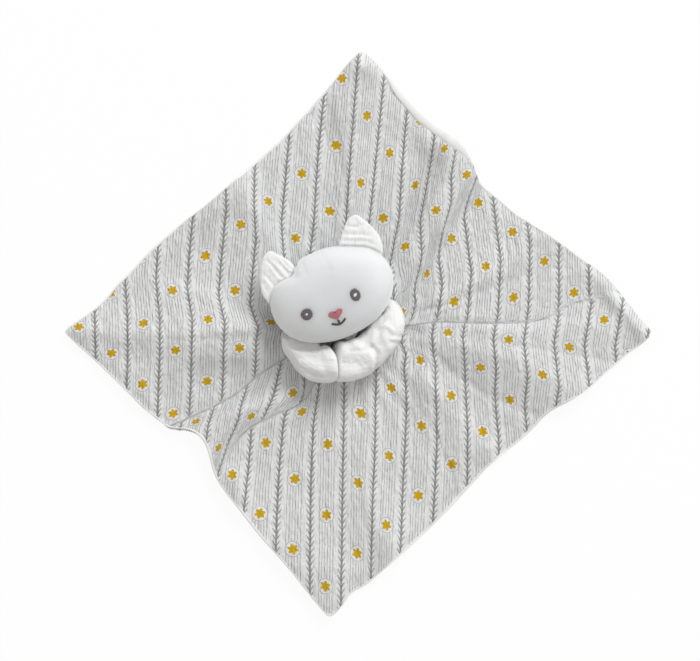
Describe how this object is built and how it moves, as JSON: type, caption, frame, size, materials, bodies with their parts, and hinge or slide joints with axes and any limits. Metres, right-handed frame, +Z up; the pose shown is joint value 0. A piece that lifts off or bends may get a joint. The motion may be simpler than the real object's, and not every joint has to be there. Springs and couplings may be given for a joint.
{
  "type": "soft toy",
  "caption": "Flat baby comforter: a printed gauze square laid out flat, with a stuffed cat's head face up at its middle, gauze ears and arms curled under the chin.",
  "frame": {"origin": "the neck's axis, on the flat underside of the lining", "axes": "+Z up out of the cloth and out of the cat's face, +X towards the cloth's right corner and +Y towards its top corner as seen from above"},
  "size_m": [0.4133, 0.3983, 0.0501],
  "materials": {
    "printed_gauze": "matte",
    "lining": "matte",
    "thread": "matte",
    "velour": "matte",
    "white_gauze": "matte",
    "filling": "matte",
    "grey_stitching": "matte",
    "white_stitching": "matte",
    "rose_stitching": "matte",
    "dark_stitching": "matte"
  },
  "bodies": {
    "root": {"blanket_front": "printed_gauze", "blanket_lining": "lining", "neck_gather": "printed_gauze", "neck_stitching": "thread", "shoulder_left": "white_gauze", "shoulder_right": "white_gauze"},
    "head": {"head_face": "velour", "head_back": "velour", "head_filling": "filling", "eye_left": "grey_stitching", "eye_left_glint": "white_stitching", "eye_right": "grey_stitching", "eye_right_glint": "white_stitching", "nose": "rose_stitching", "mouth": "dark_stitching"},
    "ear_left": {"ear_left_front": "white_gauze", "ear_left_back": "white_gauze"},
    "ear_right": {"ear_right_front": "white_gauze", "ear_right_back": "white_gauze"},
    "arm_left": {"arm_left_sleeve": "white_gauze", "arm_left_filling": "filling"},
    "arm_right": {"arm_right_sleeve": "white_gauze", "arm_right_filling": "filling"}
  },
  "joints": [
    {"name": "head_turn", "type": "hinge", "parent": "root", "child": "head", "pos_m": [0, 0, 0.0275], "axis": [0, 0, 1], "range_deg": [-12, 12], "stiffness_Nm_per_rad": 0.02},
    {"name": "ear_left_fold", "type": "hinge", "parent": "head", "child": "ear_left", "pos_m": [-0.05006, 0.03503, 0.0275], "axis": [0.5086, 0.861, 0], "range_deg": [-15, 35], "stiffness_Nm_per_rad": 0.0024},
    {"name": "ear_right_fold", "type": "hinge", "parent": "head", "child": "ear_right", "pos_m": [0.01168, 0.05997, 0.0275], "axis": [0.964, -0.266, 0], "range_deg": [-15, 35], "stiffness_Nm_per_rad": 0.0024},
    {"name": "arm_left_swing", "type": "hinge", "parent": "root", "child": "arm_left", "pos_m": [-0.036, 0.004, 0.0085], "axis": [0, 0, -1], "range_deg": [0, 30], "stiffness_Nm_per_rad": 0.006},
    {"name": "arm_right_swing", "type": "hinge", "parent": "root", "child": "arm_right", "pos_m": [0.025, 0.013, 0.0085], "axis": [0, 0, 1], "range_deg": [0, 30], "stiffness_Nm_per_rad": 0.006}
  ]
}
